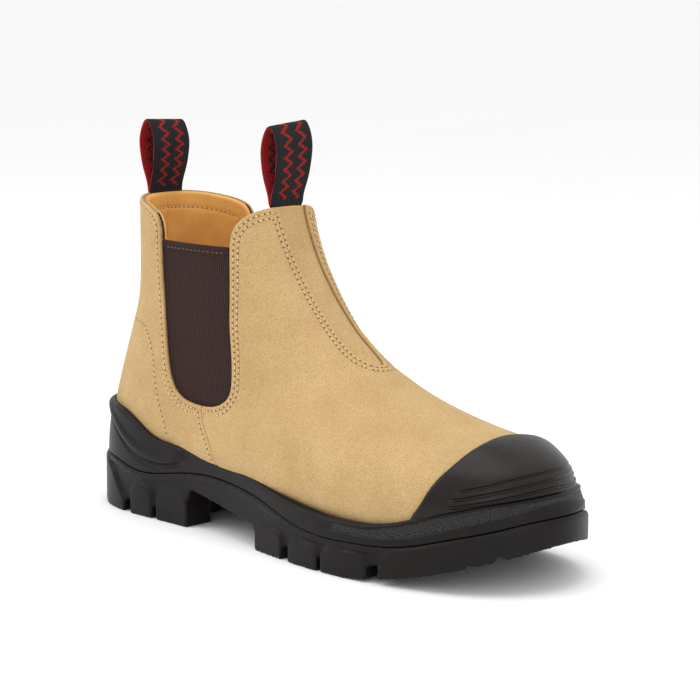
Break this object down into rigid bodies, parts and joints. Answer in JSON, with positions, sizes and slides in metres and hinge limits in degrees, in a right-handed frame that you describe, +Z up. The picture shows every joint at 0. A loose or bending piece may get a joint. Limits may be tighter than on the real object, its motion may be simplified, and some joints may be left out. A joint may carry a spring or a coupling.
{
  "type": "pull-on safety boot",
  "caption": "Ankle-high pull-on safety boot for the right foot, with elastic side gussets, a steel toe, a moulded bump cap and a lugged sole.",
  "frame": {"origin": "on the ground under the middle of the sole", "axes": "+X to the toe, +Y to the inner side of the foot, +Z up"},
  "size_m": [0.3117, 0.1096, 0.2067],
  "materials": {
    "suede": "wheat suede with a short nap",
    "lining_leather": "smooth tan leather",
    "lining_textile": "non-woven lining",
    "elastic": "ribbed dark brown elastic",
    "webbing": "woven black and red webbing",
    "bump_rubber": "satin moulded rubber",
    "midsole_foam": "moulded polyurethane",
    "outsole_rubber": "moulded nitrile rubber",
    "steel": "plain pressed steel",
    "stiffener": "thermoplastic sheet",
    "board": "pressed fibre board",
    "foam": "soft foam",
    "cork": "cork granules",
    "footbed_foam": "moulded foam",
    "footbed_fabric": "knitted cover",
    "gel": "gel pad"
  },
  "bodies": {
    "boot": {"vamp": "suede", "front_insert": "suede", "back_quarter_right": "suede", "back_quarter_left": "suede", "back_stay": "lining_leather", "gore_right": "elastic", "gore_left": "elastic", "gore_hem_right": "elastic", "gore_hem_left": "elastic", "toe_bump_cap": "bump_rubber", "pull_tab_front_anchor": "webbing", "pull_tab_rear_anchor": "webbing", "steel_toe_cap": "steel", "toe_cap_edge_strip": "foam", "heel_counter": "stiffener", "collar_foam_front": "foam", "collar_foam_rear": "foam", "shaft_lining": "lining_leather", "vamp_lining": "lining_textile", "insole_board": "board", "steel_shank": "steel", "shank_rivets": "steel", "forefoot_filler": "cork", "heel_filler": "cork", "midsole": "midsole_foam", "outsole": "outsole_rubber"},
    "footbed": {"footbed": "footbed_foam", "footbed_top_cover": "footbed_fabric", "heel_cushion_pad": "gel"},
    "front_tab": {"pull_tab_front_loop": "webbing"},
    "rear_tab": {"pull_tab_rear_loop": "webbing"}
  },
  "joints": [
    {"name": "front_tab_fold", "type": "hinge", "parent": "boot", "child": "front_tab", "pos_m": [-0.0318, 0, 0.1692], "axis": [0, 1, 0], "range_deg": [-60, 60], "stiffness_Nm_per_rad": 0.004},
    {"name": "rear_tab_fold", "type": "hinge", "parent": "boot", "child": "rear_tab", "pos_m": [-0.1262, 0, 0.1692], "axis": [0, 1, 0], "range_deg": [-60, 60], "stiffness_Nm_per_rad": 0.004},
    {"name": "footbed_lift", "type": "hinge", "parent": "boot", "child": "footbed", "pos_m": [0.1385, 0.0045, 0.0345], "axis": [0, 1, 0], "range_deg": [0, 2.5]}
  ]
}
